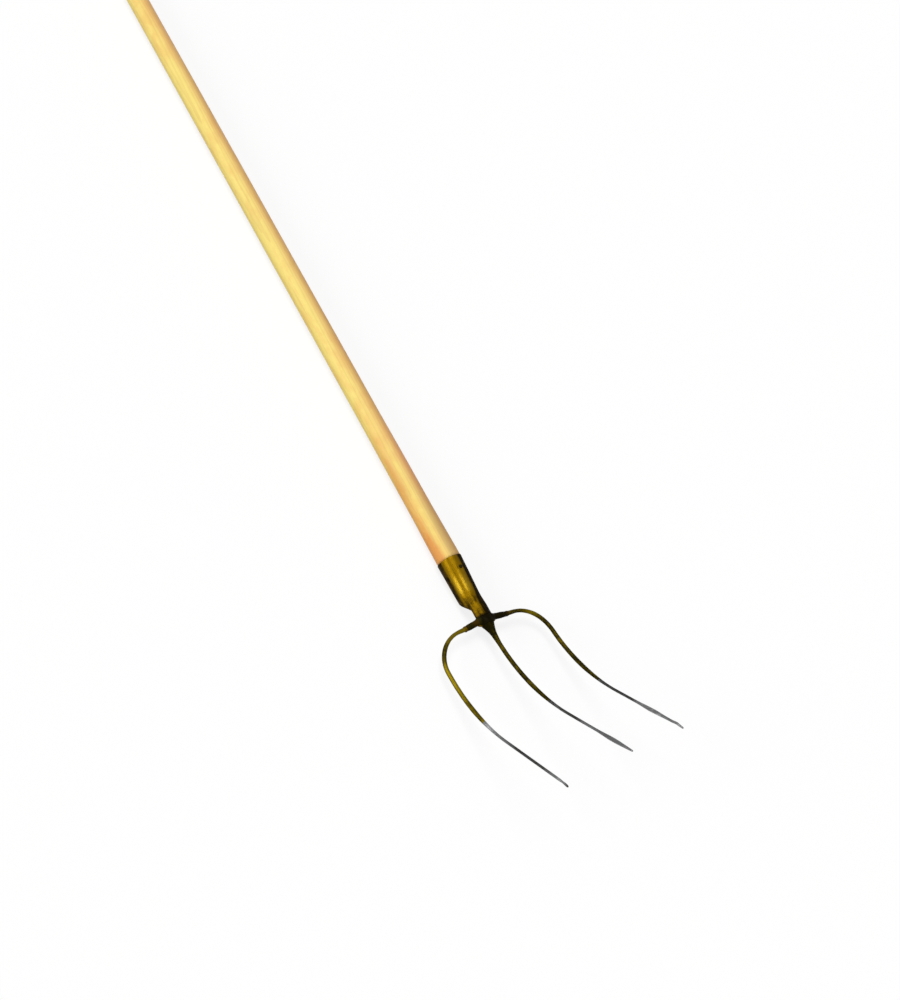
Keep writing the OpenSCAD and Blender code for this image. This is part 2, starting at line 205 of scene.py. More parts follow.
def startGroup(name, output, **inputs):  # a group that takes the lay and some numbers
    tree = bpy.data.node_groups.new(name, "ShaderNodeTree")
    tree.interface.new_socket("Lay", in_out="INPUT", socket_type="NodeSocketVector")
    for label, value in inputs.items():
        made = tree.interface.new_socket(label, in_out="INPUT", socket_type="NodeSocketFloat")
        made.default_value = value
    tree.interface.new_socket(output, in_out="OUTPUT", socket_type="NodeSocketFloat")
    given = tree.nodes.new("NodeGroupInput").outputs
    return tree, given, tree.nodes.new("NodeGroupOutput").inputs[0]


def squeeze(tree, lay, along, across):  # divides the lay by a length along and one across
    scales = put(tree, "ShaderNodeCombineXYZ")
    for axis, size in (("X", along), ("Y", across), ("Z", across)):
        tree.links.new(over(tree, 1, size), scales.inputs[axis])
    made = put(tree, "ShaderNodeVectorMath", operation="MULTIPLY")
    tree.links.new(lay, made.inputs[0])
    tree.links.new(scales.outputs[0], made.inputs[1])
    return made.outputs[0]


def cloud(tree, where, scale, detail, roughness):
    made = put(tree, "ShaderNodeTexNoise", {"Detail": detail, "Roughness": roughness},
               {"Vector": where})
    give(tree, made.inputs["Scale"], scale)
    return made.outputs["Fac"]


def buildMottle():  # soft cloudy patches between two tones
    tree, given, out = startGroup("mottle", "Patches", Size=20, Stretch=1, Sharpness=0.3)
    stretched = squeeze(tree, given["Lay"], given["Stretch"], 1)
    noisy = cloud(tree, stretched, over(tree, 1, given["Size"]), 3, 0.55)
    half = times(tree, given["Sharpness"], 0.5)
    tree.links.new(spread(tree, noisy, half, minus(tree, 1, half)), out)
    return tree


def buildStreaks():  # fine lines that run along the piece: wood pores, grinding marks
    tree, given, out = startGroup("streaks", "Streaks", Length=30, Width=0.5, Amount=0.4)
    stretched = squeeze(tree, given["Lay"], given["Length"], given["Width"])
    highest = 0.8
    ramp = put(tree, "ShaderNodeMapRange", {"From Max": highest},
               {"Value": cloud(tree, stretched, 1, 2, 0.6),
                "From Min": minus(tree, highest, given["Amount"])})
    tree.links.new(ramp.outputs["Result"], out)
    return tree


def buildPits():  # small pits and specks
    tree, given, out = startGroup("pits", "Pits", Size=1.5, Amount=0.3)
    cells = put(tree, "ShaderNodeTexVoronoi", {"Randomness": 1},
                {"Vector": given["Lay"], "Scale": over(tree, 1, given["Size"])}, feature="F1")
    rounded = spread(tree, cells.outputs["Distance"], 0.45, 0.1)
    chosen = put(tree, "ShaderNodeSeparateColor", links={"Color": cells.outputs["Color"]})
    kept = calculate(tree, "LESS_THAN", chosen.outputs[0], given["Amount"])
    tree.links.new(times(tree, rounded, kept), out)
    return tree


def buildRagged():  # frays a value, so that its borders aren't clean lines
    tree, given, out = startGroup("ragged", "Frayed", Value=0, Size=6, Amount=0.4)
    noisy = cloud(tree, given["Lay"], over(tree, 1, given["Size"]), 4, 0.6)
    shift = times(tree, minus(tree, noisy, 0.5), given["Amount"])
    tree.links.new(plus(tree, given["Value"], shift), out)
    return tree


groups = dict(mottle=buildMottle(), streaks=buildStreaks(), pits=buildPits(),
              ragged=buildRagged())


def use(tree, group, lay, **values):  # places a group and returns its one output
    made = put(tree, "ShaderNodeGroup", links={"Lay": lay}, node_tree=groups[group])
    for key, value in values.items():
        give(tree, made.inputs[key], value)
    return made.outputs[0]


def fray(tree, lay, label, size, amount):  # a value from the mesh with ragged borders
    value = put(tree, "ShaderNodeAttribute", attribute_name=label).outputs["Fac"]
    return use(tree, "ragged", lay, Value=value, Size=size, Amount=amount)


def threeTones(tree, value, first, middle, last):  # met at 0, 0.5 and 1
    colour = mixColours(tree, spread(tree, value, 0, 0.5), first, middle)
    return mixColours(tree, spread(tree, value, 0.5, 1), colour, last)


def startMaterial(name):
    material = bpy.data.materials.new(name)
    material.use_nodes = True
    tree = material.node_tree
    lay = put(tree, "ShaderNodeAttribute", attribute_name="lay").outputs["Vector"]
    return material, tree, tree.nodes["Principled BSDF"], lay


bumpDepth = 0.12  # in mm, at full relief


def finishMaterial(tree, shader, colour, gloss, relief, specular, strength=0.6):
    bump = put(tree, "ShaderNodeBump", {"Strength": strength, "Distance": bumpDepth * mm},
               {"Height": relief})
    for label, source in (("Base Color", colour), ("Roughness", gloss),
                          ("Normal", bump.outputs["Normal"])):
        tree.links.new(source, shader.inputs[label])
    shader.inputs["Specular IOR Level"].default_value = specular


# The pith is the heart of the tree, beside the shaft. The tints are how much the late wood of
# each ring, the pores and the fibres colour it
ash = dict(
    pale=(0.935, 0.76, 0.215), amber=(0.80, 0.35, 0.085), rosy=(0.97, 0.43, 0.195),
    line=(0.60, 0.36, 0.10), dull=(0.42, 0.40, 0.14), pith=(70, -38), ringWidth=3.4,
    ringWander=1.6, lean=0.012, patchShare=0.38, blotchShare=0.2, lateTint=0.22, poreTint=0.35,
    fibreTint=0.12, roughness=0.5, poreGloss=0.2, lateRelief=0.3, specular=0.25, bump=0.5)


def buildAsh():
    material, tree, shader, lay = startMaterial("ashWood")
    x, y, z = put(tree, "ShaderNodeSeparateXYZ", links={"Vector": lay}).outputs
    pithY = plus(tree, y, times(tree, x, ash["lean"]), ash["pith"][0])
    pithZ = plus(tree, z, ash["pith"][1])
    far = calculate(tree, "SQRT", plus(tree, times(tree, pithY, pithY), times(tree, pithZ, pithZ)))
    wander = use(tree, "mottle", lay, Size=22, Stretch=14, Sharpness=0)
    rings = plus(tree, over(tree, far, ash["ringWidth"]), times(tree, wander, ash["ringWander"]))
    late = spread(tree, calculate(tree, "FRACT", rings), 0.55, 0.98)
    pores = use(tree, "streaks", lay, Length=26, Width=0.42, Amount=0.26)
    fibre = use(tree, "streaks", lay, Length=90, Width=1.6, Amount=0.6)
    patches = use(tree, "mottle", lay, Size=34, Stretch=3.4, Sharpness=0.62)
    blotches = use(tree, "mottle", lay, Size=11, Stretch=2.2, Sharpness=0.72)
    # Three tones come into the pale wood: amber near the socket, mostly low down on the right, a
    # rosy one up on the left, and over that near the socket a dull one, which is painted shade. lift
    # goes from the foot of the right flank to the top of the left one
    lift = plus(tree, y, z)
    amber = times(tree, spread(tree, lift, 12, -14), spread(tree, x, -370, -90))
    amber = plus(tree, amber, times(tree, patches, ash["patchShare"]),
                 times(tree, blotches, ash["blotchShare"]))
    atEnd = spread(tree, x, -150, -95, -0.22, 0.02)
    amber = calculate(tree, "ADD", amber, atEnd, clamp=True)
    rosy = times(tree, spread(tree, lift, 2, 26), spread(tree, x, -340, -230, 0.62, 0.93))
    paintedFlankShade = times(tree, spread(tree, lift, 6, 15), spread(tree, x, -260, -120, 0, 0.42))
    colour = ash["pale"]
    for share, tone in ((amber, "amber"), (rosy, "rosy"), (paintedFlankShade, "dull"),
                        (times(tree, late, ash["lateTint"]), "line"),
                        (times(tree, pores, ash["poreTint"]), "line"),
                        (times(tree, fibre, ash["fibreTint"]), "amber")):
        colour = mixColours(tree, share, colour, ash[tone])
    gloss = spread(tree, patches, 0, 1, ash["roughness"] + 0.06, ash["roughness"] - 0.05)
    gloss = plus(tree, gloss, times(tree, pores, ash["poreGloss"]))
    relief = minus(tree, times(tree, late, ash["lateRelief"]), pores)
    finishMaterial(tree, shader, colour, gloss, relief, ash["specular"], ash["bump"])
    return material


# The lacquer goes from thin through thick to burnt as it darkens, and the steel from bright
# through mid to dull. On the socket and the tines these tones are placed partly as painted shade
# and painted highlight, so the burnt one is burn and painted shade both
lacquer = dict(
    metallic=0.8, roughness=0.33, rougher=0.22, specular=0.015, patchShare=0.16, runShare=0.14,
    lighter=0.15, pitShare=0.5, runRelief=0.5)
socketTones = dict(
    thin=(0.225, 0.140, 0.0075), thick=(0.155, 0.085, 0.001), burntAndShade=(0.010, 0.006, 0.001))
tineTones = dict(
    thin=(0.205, 0.146, 0.0075), thick=(0.140, 0.100, 0.002), burntAndShade=(0.010, 0.0078, 0.001))
steel = dict(
    bright=(0.36, 0.36, 0.37), mid=(0.13, 0.13, 0.132), dull=(0.030, 0.0295, 0.028),
    rust=(0.09, 0.045, 0.02), markShare=0.15, speckShare=0.5, markRelief=0.6, roughness=0.3,
    tarnished=0.5)


def lacquerLook(tree, lay, tones):  # the gold lacquer's colour, roughness, relief and metal
    patches = use(tree, "mottle", lay, Size=7, Stretch=2.2, Sharpness=0.4)
    runs = use(tree, "mottle", lay, Size=2.2, Stretch=8, Sharpness=0.4)
    pits = use(tree, "pits", lay, Size=1.7, Amount=0.14)
    frayed = fray(tree, lay, "dark", 5, 0.45)
    shift = plus(tree, times(tree, patches, lacquer["patchShare"]),
                 times(tree, runs, lacquer["runShare"]))
    dark = calculate(tree, "SUBTRACT", plus(tree, frayed, shift), lacquer["lighter"], clamp=True)
    colour = threeTones(tree, dark, tones["thin"], tones["thick"], tones["burntAndShade"])
    colour = mixColours(tree, times(tree, pits, lacquer["pitShare"]), colour, tones["burntAndShade"])
    gloss = spread(tree, dark, 0, 1, lacquer["roughness"], lacquer["roughness"] + lacquer["rougher"])
    relief = minus(tree, times(tree, runs, lacquer["runRelief"]), pits)
    metal = spread(tree, dark, 0.55, 1, lacquer["metallic"], 0)
    return colour, gloss, relief, metal


def buildLacquer():
    material, tree, shader, lay = startMaterial("goldLacquer")
    colour, gloss, relief, metal = lacquerLook(tree, lay, socketTones)
    finishMaterial(tree, shader, colour, gloss, relief, lacquer["specular"])
    tree.links.new(metal, shader.inputs["Metallic"])
    return material


def buildTineFinish():  # gold lacquer that ends in a frayed edge, with bare steel after it
    material, tree, shader, lay = startMaterial("lacquerAndSteel")
    colour, gloss, relief, metal = lacquerLook(tree, lay, tineTones)
    past = fray(tree, lay, "bare", 2.5, 6)
    bare = spread(tree, past, -0.6, 0.8)
    covered = minus(tree, 1, bare)
    marks = use(tree, "streaks", lay, Length=0.9, Width=5, Amount=0.5)
    specks = use(tree, "pits", lay, Size=1.4, Amount=0.25)
    # the bare steel darkens by the same values as the lacquer, so its tarnish is partly painted
    # shade
    tarnishAndShade = fray(tree, lay, "dark", 6, 0.8)
    tarnishAndShade = calculate(tree, "ADD", tarnishAndShade, times(tree, marks, steel["markShare"]), clamp=True)
    ground = threeTones(tree, tarnishAndShade, steel["bright"], steel["mid"], steel["dull"])
    ground = mixColours(tree, times(tree, specks, steel["speckShare"]), ground, steel["rust"])
    colour = mixColours(tree, bare, colour, ground)
    bareGloss = spread(tree, tarnishAndShade, 0, 1, steel["roughness"], steel["tarnished"])
    gloss = plus(tree, times(tree, gloss, covered), times(tree, bareGloss, bare))
    scratches = times(tree, marks, times(tree, bare, steel["markRelief"]))
    relief = plus(tree, times(tree, relief, covered), scratches)
    finishMaterial(tree, shader, colour, gloss, relief, lacquer["specular"])
    tree.links.new(calculate(tree, "MAXIMUM", metal, bare), shader.inputs["Metallic"])
    return material


darkFinish = dict(
    brown=(0.052, 0.028, 0.002), olive=(0.019, 0.016, 0.002), black=(0.0065, 0.0045, 0.0006),
    roughness=0.42, specular=0.015, scaleShare=0.5, grainGloss=0.15, grainRelief=0.4)


def buildDarkLacquer(name):
    material, tree, shader, lay = startMaterial(name)
    patches = use(tree, "mottle", lay, Size=6, Stretch=1.3, Sharpness=0.5)
    scaleMarks = use(tree, "pits", lay, Size=2.6, Amount=0.45)
    grains = use(tree, "pits", lay, Size=0.9, Amount=0.4)
    dark = fray(tree, lay, "dark", 5, 0.7)
    black = darkFinish["black"]
    colour = threeTones(tree, dark, darkFinish["brown"], darkFinish["olive"], black)
    colour = mixColours(tree, times(tree, scaleMarks, darkFinish["scaleShare"]), colour, black)
    plain = darkFinish["roughness"]
    gloss = plus(tree, spread(tree, patches, 0, 1, plain + 0.12, plain - 0.1),
                 times(tree, grains, darkFinish["grainGloss"]))
    relief = plus(tree, times(tree, scaleMarks, -1), times(tree, grains, -darkFinish["grainRelief"]))
    finishMaterial(tree, shader, colour, gloss, relief, darkFinish["specular"])
    return material


ashWood = buildAsh()
goldLacquer = buildLacquer()
lacquerAndSteel = buildTineFinish()
hubLacquer = buildDarkLacquer("hubLacquer")
nailIron = buildDarkLacquer("nailIron")
print("finishes built:", len(bpy.data.materials), "materials,", len(groups), "node groups")

# The socket's sheet, which the handle and the hub's neck fit into. Its lay is on a cylinder of
# the mean radius
socket = dict(
    mouth=-90, tube=48, taper=2, mouthRadius=17.7, meanRadius=17, sheet=1.5, coneEnd=-36,
    tongueRadius=15.2, tongueArc=62, tongueBack=-12, seamGap=2.5, cutCurve=1.25, around=72,
    edge=0.35, rings=(20, 40, 8), cutCrowd=1.3, lastRing=-1.2, dent=0.22, dentSize=16,
    dentInside=0.6, dimple=0.35, dimpleReach=6, mouthWander=0.7, wanderSize=9, wanderRun=12,
    paintedInsideShade=0.8)
seamArc = 180 - math.degrees(math.asin(socket["seamGap"] / 2 / socket["mouthRadius"]))
taperSlope = math.tan(math.radians(socket["taper"]))
tubeEnd = socket["mouth"] + socket["tube"]


def neckPart(x):
    return ease((x - socket["coneEnd"]) / (socket["tongueBack"] - socket["coneEnd"]))


def sheetRadius(x):
    cone = socket["mouthRadius"] - (x - socket["mouth"]) * taperSlope
    return cone * (1 - neckPart(x)) + socket["tongueRadius"] * neckPart(x)


def sheetHeight(x):
    return -(x - socket["mouth"]) * taperSlope * (1 - neckPart(x))


def sheetArc(x):
    if x <= tubeEnd:
        return seamArc
    part = max(0, (socket["tongueBack"] - x) / (socket["tongueBack"] - tubeEnd))
    return socket["tongueArc"] + (seamArc - socket["tongueArc"]) * part ** socket["cutCurve"]


def streak(angle, middle, half, soft):  # 1 within half of the middle angle, in degrees
    away = abs((angle - middle + 180) % 360 - 180)
    return 1 - ease((away - half) / soft)


# How dark the socket's lacquer is along its upper side, by distance from the hub: partly the
# lacquer's tone, partly painted shade that dims the gleams at the mouth and towards the hub
socketShadeTable = [(-90, 0.45), (-70, 0.42), (-57, 0.15), (-48, 0), (-40, 0.1), (-34, 0.52),
               (-27, 0.72), (-20, 0.64), (-12, 0.64), (-4, 0.7), (0, 0.95)]


def paintedSocketShade(x, angle):  # painted shade: darker along both flanks, and a little between its gleams
    left = streak(angle, 42, 22 + 15 * ease((x + 42) / 26), 28)
    right = max(0.9 * streak(angle, -110, 28, 16),
                0.78 * streak(angle, -66, 12, 18) * ease((x + 34) / 14))
    ground = lookUp(x, socketShadeTable)
    between = 0.38 * streak(angle, -36, 4, 9) + 0.5 * streak(angle, 150, 10, 14)
    return min(1, max(left, right, ground, min(0.5, ground + between)))


# seat parts the two rings at the socket's mouth. knifeCuts are their number, sway and size, and
# dingSize and dingDepth the least and how much more a ding may be
shaft = dict(
    radius=16, insert=44, insertSteps=22, roundEnd=10, roundSteps=8, endInset=0.02,
    shoulder=0.2, seat=0.05, woodGap=0.2, tipBevel=0.8, sides=72, step=3, swell=0.9,
    swellLength=90, bevel=1.5, bevelShares=(0.6, 0.27, 0.02), slim=0.45, slimFrom=-230,
    slimRun=110, flatDepth=0.12, flatSize=70, knifeCuts=(9, 0.3, 12), cutDepth=0.5,
    dings=26, dingFree=30, dingSize=(3, 6), dingDepth=(0.12, 0.25))


def shaftRadius(x):  # a little slimmer towards the free end, and swelling at the socket
    swollen = ease((x - socket["mouth"] + shaft["swellLength"])
                   / (shaft["swellLength"] - shaft["bevel"]))
    slimmed = ease((shaft["slimFrom"] - x) / shaft["slimRun"])
    return shaft["radius"] + shaft["swell"] * swollen - shaft["slim"] * slimmed


def listDings(back):  # each ding's place along the shaft, angle, size and depth
    mouth, free = socket["mouth"], shaft["dingFree"]
    (size, moreSize), (depth, moreDepth) = shaft["dingSize"], shaft["dingDepth"]
    dings = []
    for k in range(shaft["dings"]):
        spot = noise.cell_vector(Vector((k + 0.5, 7.5, 2.5)))
        dings.append((back + free + (mouth - back - 2 * free) * spot.x, spot.y * 2 * math.pi,
                      size + moreSize * spot.z,
                      depth + moreDepth * noise.cell(Vector((k + 0.5, 1.5, 9.5)))))
    return dings


def buildHandle():
    back = (handleBox[0].x - hubPlace.x) / mm + shaft["endInset"]
    mouth = socket["mouth"]
    rings = []
    roundEnd, roundSteps = shaft["roundEnd"], shaft["roundSteps"]
    small = shaftRadius(back) - roundEnd
    for k in range(roundSteps + 1):
        a = math.radians(90 * k / roundSteps)
        rings.append((back + roundEnd * (1 - math.cos(a)), small + roundEnd * math.sin(a), 0))
    run = mouth - shaft["bevel"] - back - roundEnd
    steps = int(run / shaft["step"])
    for k in range(1, steps + 1):
        x = back + roundEnd + run * k / steps
        rings.append((x, shaftRadius(x), 0))
    seat = shaft["seat"]
    for share in shaft["bevelShares"]:
        rings.append((mouth - shaft["bevel"] * share,
                      shaft["radius"] - seat + shaft["swell"] * share, 0))
    radius = shaft["radius"] - shaft["shoulder"]
    endRadius = sheetRadius(mouth + shaft["insert"]) - socket["sheet"] - shaft["woodGap"]
    for k in range(shaft["insertSteps"] + 1):
        u = k / shaft["insertSteps"]
        rings.append((mouth + seat + (shaft["insert"] - seat) * u,
                      radius + (endRadius - radius) * u, -shaft["insert"] * u * taperSlope))
    tipX, tipRadius, tipHeight = rings[-1]
    rings[-1] = (tipX - shaft["tipBevel"], tipRadius, tipHeight)
    rings.append((tipX, tipRadius - shaft["tipBevel"], tipHeight))
    dings = listDings(back)
    shaped = []
    for x, radius, height in rings:
        ring = []
        inside = ease((x - mouth) / 2)
        for a in turns(shaft["sides"]):
            side = Vector((math.cos(a), math.sin(a)))
            r = radius
            if x > back + 1:
                flat = rough((x, side.x * 20, side.y * 20), shaft["flatSize"], 2)
                r -= shaft["flatDepth"] * (0.5 + 0.5 * flat)
            r -= inside * shaft["cutDepth"] * facet(a, x, 5, *shaft["knifeCuts"])
            for dingX, dingAngle, size, depth in dings:
                if abs(x - dingX) < size:
                    turn = (a - dingAngle + math.pi) % (2 * math.pi) - math.pi
                    far = math.hypot(x - dingX, turn * radius) / size
                    if far < 1:
                        r -= depth * (1 - far * far) ** 2
            ring.append(Vector((x, r * side.x, height + r * side.y)))
        shaped.append(ring)
    return makePiece("handle_shaft", *sweep(shaped))


def buildSocket():
    n = socket["around"]
    mouth, back = socket["mouth"], socket["tongueBack"]
    sheet, edge, mean = socket["sheet"], socket["edge"], socket["meanRadius"]
    tubeRings, cutRings, tongueRings = socket["rings"]
    # Rings round the mouth's edge, along the tube, the slanting cut and the tongue, and its edge
    stations = [mouth, mouth + edge * 0.4, mouth + edge]
    stations += [mouth + edge + (tubeEnd - mouth - edge) * k / tubeRings
                 for k in range(1, tubeRings + 1)]
    stations += [tubeEnd + (back - tubeEnd) * (k / cutRings) ** socket["cutCrowd"]
                 for k in range(1, cutRings + 1)]
    stations += [back * (1 - k / tongueRings) for k in range(1, tongueRings - 1)]
    stations += [socket["lastRing"], -edge, -edge * 0.4, 0]
    rings, lay, dark = [], [], []
    for x in stations:
        fromEnd = min(x - mouth, -x)
        thin = edge - math.sqrt(edge ** 2 - max(0, edge - fromEnd) ** 2)  # the edges are round
        arc = math.radians(sheetArc(x))
        height = sheetHeight(x)

        def spot(a, inset):  # the point at an angle that lies this far under the outer face
            base = (x, math.sin(a) * mean, math.cos(a) * mean)
            dent = socket["dent"] * (0.5 + 0.5 * rough(base, socket["dentSize"], 1))
            toNail = math.hypot(x - nail["x"], a * mean) / socket["dimpleReach"]
            if toNail < 1:
                dent += socket["dimple"] * (1 - toNail ** 2) ** 2
            r = sheetRadius(x) - inset - dent * (1 if inset < 1 else socket["dentInside"])
            wander = socket["mouthWander"] * (0.5 + 0.5 * rough(base, socket["wanderSize"], 8))
            wander *= 1 - ease((x - mouth) / socket["wanderRun"])
            lay.append(base)
            # the inner face gets a painted shade
            dark.append(paintedSocketShade(x, math.degrees(a)) if inset < 1 else socket["paintedInsideShade"])
            return Vector((x + wander, r * math.sin(a), height + r * math.cos(a)))

        # The outer face and the seam's edge on one side, then the inner face and the other edge
        ring = []
        nip = edge / mean
        corner = edge * 0.3 + thin * 0.7
        for side, face, first, last in ((1, thin, corner, sheet - corner),
                                        (-1, sheet - thin, sheet - corner, corner)):
            for j in range(n + 1):
                ring.append(spot(side * (arc - nip) * (1 - 2 * j / n), face))
            for a, inset in ((arc - nip * 0.3, first), (arc, sheet / 2), (arc - nip * 0.3, last)):
                ring.append(spot(-side * a, inset))
        rings.append(ring)
    points, faces = sweep(rings, caps=False)
    # The two ends are strips between the outer and the inner face, and the seam's two edges
    total = len(rings[0])
    for start, turn in ((0, 1), ((len(rings) - 1) * total, -1)):
        inner = [2 * n + 4 - j for j in range(n + 1)]
        ends = [(j + 1, j, inner[j], inner[j + 1])[::turn] for j in range(n)]
        ends.append((n, n + 1, n + 2, n + 3, n + 4)[::-turn])
        ends.append((2 * n + 4, 2 * n + 5, 2 * n + 6, 2 * n + 7, 0)[::-turn])
        faces += [tuple(start + v for v in face) for face in ends]
    return makePiece("socket_sheet", points, faces, lay, dark)


nail = dict(
    x=-72, radius=1.5, headRadius=2.5, headHeight=1.2, length=22, sides=28, ragged=0.07,
    raggedSize=1.6, tilt=0.12, tiltWay=0.8, dark=0.35)


def buildNail():
    point = -nail["length"]
    top = nail["headHeight"]
    head = nail["headRadius"]
    # Distance along the nail from the sheet's face, and radius there: point, shank, domed head
    profile = [(point, 0.25), (point + 2.5, 1.1), (point + 5, nail["radius"]),
               (-0.3, nail["radius"]), (0, head * 0.86), (0.12, head * 0.97), (0.35, head),
               (top * 0.5, head * 0.97), (top * 0.72, head * 0.84), (top * 0.9, head * 0.6),
               (top * 0.98, head * 0.3)]
    x = nail["x"]
    foot = Vector((x, 0, sheetHeight(x) + sheetRadius(x)))
    lean = math.radians(2 * socket["taper"])
    up = Vector((math.sin(lean), 0, math.cos(lean)))
    ahead = Vector((math.cos(lean), 0, -math.sin(lean)))
    left = Vector((0, 1, 0))
    rings = []
    for along, radius in profile:
        ring = []
        for a in turns(nail["sides"]):
            lump = rough((math.cos(a) * 2, math.sin(a) * 2, along), nail["raggedSize"], 4)
            r = radius * (1 - nail["ragged"] * (0.5 + 0.5 * lump))
            side = ahead * math.cos(a) + left * math.sin(a)
            tilt = 0
            if along > 0.3:  # the head sits a little askew
                tilt = nail["tilt"] * math.cos(a - nail["tiltWay"]) * radius / head
            ring.append(foot + up * (along - abs(tilt)) + side * r)
        rings.append(ring)
    return makePiece("nail_in_socket", *sweep(rings), dark=nail["dark"])


# Each tine's side view is a straight, an arc and another straight. An outer one's plan runs out
# from the arm, round the shoulder and along the leg, which splay turns a little outwards. facets
# are the grinding's flats: their number, sway and size
tineShape = dict(
    centre=dict(start=32, bend=216, slopeIn=2.2, slopeOut=42, reach=248),
    outer=dict(start=31, bend=196, slopeIn=-2.2, slopeOut=40.4, reach=250),
    spread=180, shoulder=46, lean=3, splay=2.2, diameter=6.1, rootDiameter=6.6,
    waistDiameter=5.2, flareDiameter=18, flareLength=18, flareEnd=8, flareRun=12,
    flarePower=1.6, rootCrowd=1.1, grindFrom=112, grindLength=40, bareDiameter=3.9, bareEnd=3.5,
    pointLength=10, pointEnd=2.2, pointPower=1.5, droop=1.8, droopLength=10, flatExtra=4.2,
    flatLength=46, flatThin=0.1, humpBack=10, humpWidth=3, neckBack=8.5, knobBack=2.5,
    knobWidth=2, sides=28, step=0.9, trueRoot=4, paintedUnderShade=0.15, layRadius=3, forging=0.16,
    groundForging=0.05, forgingSize=7, facetDepth=0.02, facets=(7, 0.8, 11),
    paintSkin=0.05, paintEdge=6)


def tineHeight(x, side):
    slopeIn, slopeOut = math.radians(side["slopeIn"]), math.radians(side["slopeOut"])
    middleX = side["start"] - side["bend"] * math.sin(slopeIn)
    middleZ = (hub["rise"] + side["start"] * math.tan(slopeIn)
               + side["bend"] * math.cos(slopeIn))
    endX = middleX + side["bend"] * math.sin(slopeOut)
    if x < side["start"]:
        return hub["rise"] + x * math.tan(slopeIn)
    if x < endX:
        return middleZ - math.sqrt(side["bend"] ** 2 - (x - middleX) ** 2)
    return middleZ - side["bend"] * math.cos(slopeOut) + (x - endX) * math.tan(slopeOut)


def outerPlan():  # the plan of an outer tine: a run, the shoulder bend and the leg
    lean, splay = math.radians(tineShape["lean"]), math.radians(tineShape["splay"])
    bend = tineShape["shoulder"]
    run = (tineShape["spread"] / 2 - hub["armReach"]
           - bend * (math.cos(splay) - math.sin(lean))) / math.cos(lean)
    turn = math.pi / 2 - lean - splay

    def onRun(t):
        return Vector((hub["armAhead"] + t * math.sin(lean), hub["armReach"] + t * math.cos(lean)))

    middle = onRun(run) + bend * Vector((math.cos(lean), -math.sin(lean)))
    bendEnd = middle + bend * Vector((-math.sin(splay), math.cos(splay)))
    whole = run + bend * turn + (tineShape["outer"]["reach"] - bendEnd.x) / math.cos(splay)

    def at(t):
        if t < run:
            return onRun(t)
        if t < run + bend * turn:
            heading = math.pi / 2 - lean - (t - run) / bend
            return middle + bend * Vector((-math.sin(heading), math.cos(heading)))
        return bendEnd + (t - run - bend * turn) * Vector((math.cos(splay), math.sin(splay)))

    return at, whole, run, run + bend * turn / 2


def bell(x, middle, width):
    return math.exp(-((x - middle) / width) ** 2)


def groundDiameter(x):
    t = tineShape
    nearest = min(t["centre"]["reach"], t["outer"]["reach"])
    return lookUp(x, [(t["grindFrom"], t["diameter"]),
                      (t["grindFrom"] + t["grindLength"], t["bareDiameter"]),
                      (nearest - t["pointLength"], t["bareEnd"])])


# side is 0 for the centre tine, 1 for the left one and -1 for the right one. paintEnd is where
# the lacquer stops, ahead of the hub, flatBack the distance from the point to the hammered flat,
# and neck, knob and hump are a thin place, a thick end and a kink at the point. dark goes by
# distance from the tine's root, and is partly the lacquer's and steel's tone and partly painted
# shade and painted highlight along each tine
leftTine = dict(
    side=1, paintEnd=141, flatBack=39, neck=0, knob=0, hump=0.9, seed=21,
    dark=[(0, 0.8), (24, 0.8), (40, 0.52), (56, 0.8), (74, 0.93), (92, 0.82), (116, 0.87),
          (140, 0.9), (214, 0.86), (226, 0.35), (250, 0.33), (258, 0.5), (270, 0.4)])
centreTine = dict(
    side=0, paintEnd=140, flatBack=24, neck=0, knob=0, hump=0, seed=33,
    dark=[(0, 1), (10, 0.92), (20, 0.84), (44, 0.79), (56, 0.81), (80, 0.93), (102, 0.84),
          (116, 0.9), (126, 0.85), (144, 0.75), (152, 0.88), (162, 0.92), (172, 0.7),
          (180, 0.5), (210, 0.55), (226, 0.4)])
rightTine = dict(
    side=-1, paintEnd=130, flatBack=0, neck=0.8, knob=0.35, hump=0, seed=45,
    dark=[(0, 0.43), (24, 0.44), (44, 0.76), (56, 0.82), (68, 0.72), (80, 0.5), (100, 0.52),
          (128, 0.7), (154, 0.77), (160, 0.4), (166, 0.12), (196, 0.55), (206, 0.8),
          (214, 0.88), (248, 0.8), (256, 0.5), (264, 0.3), (272, 0.3), (277, 0.85)])


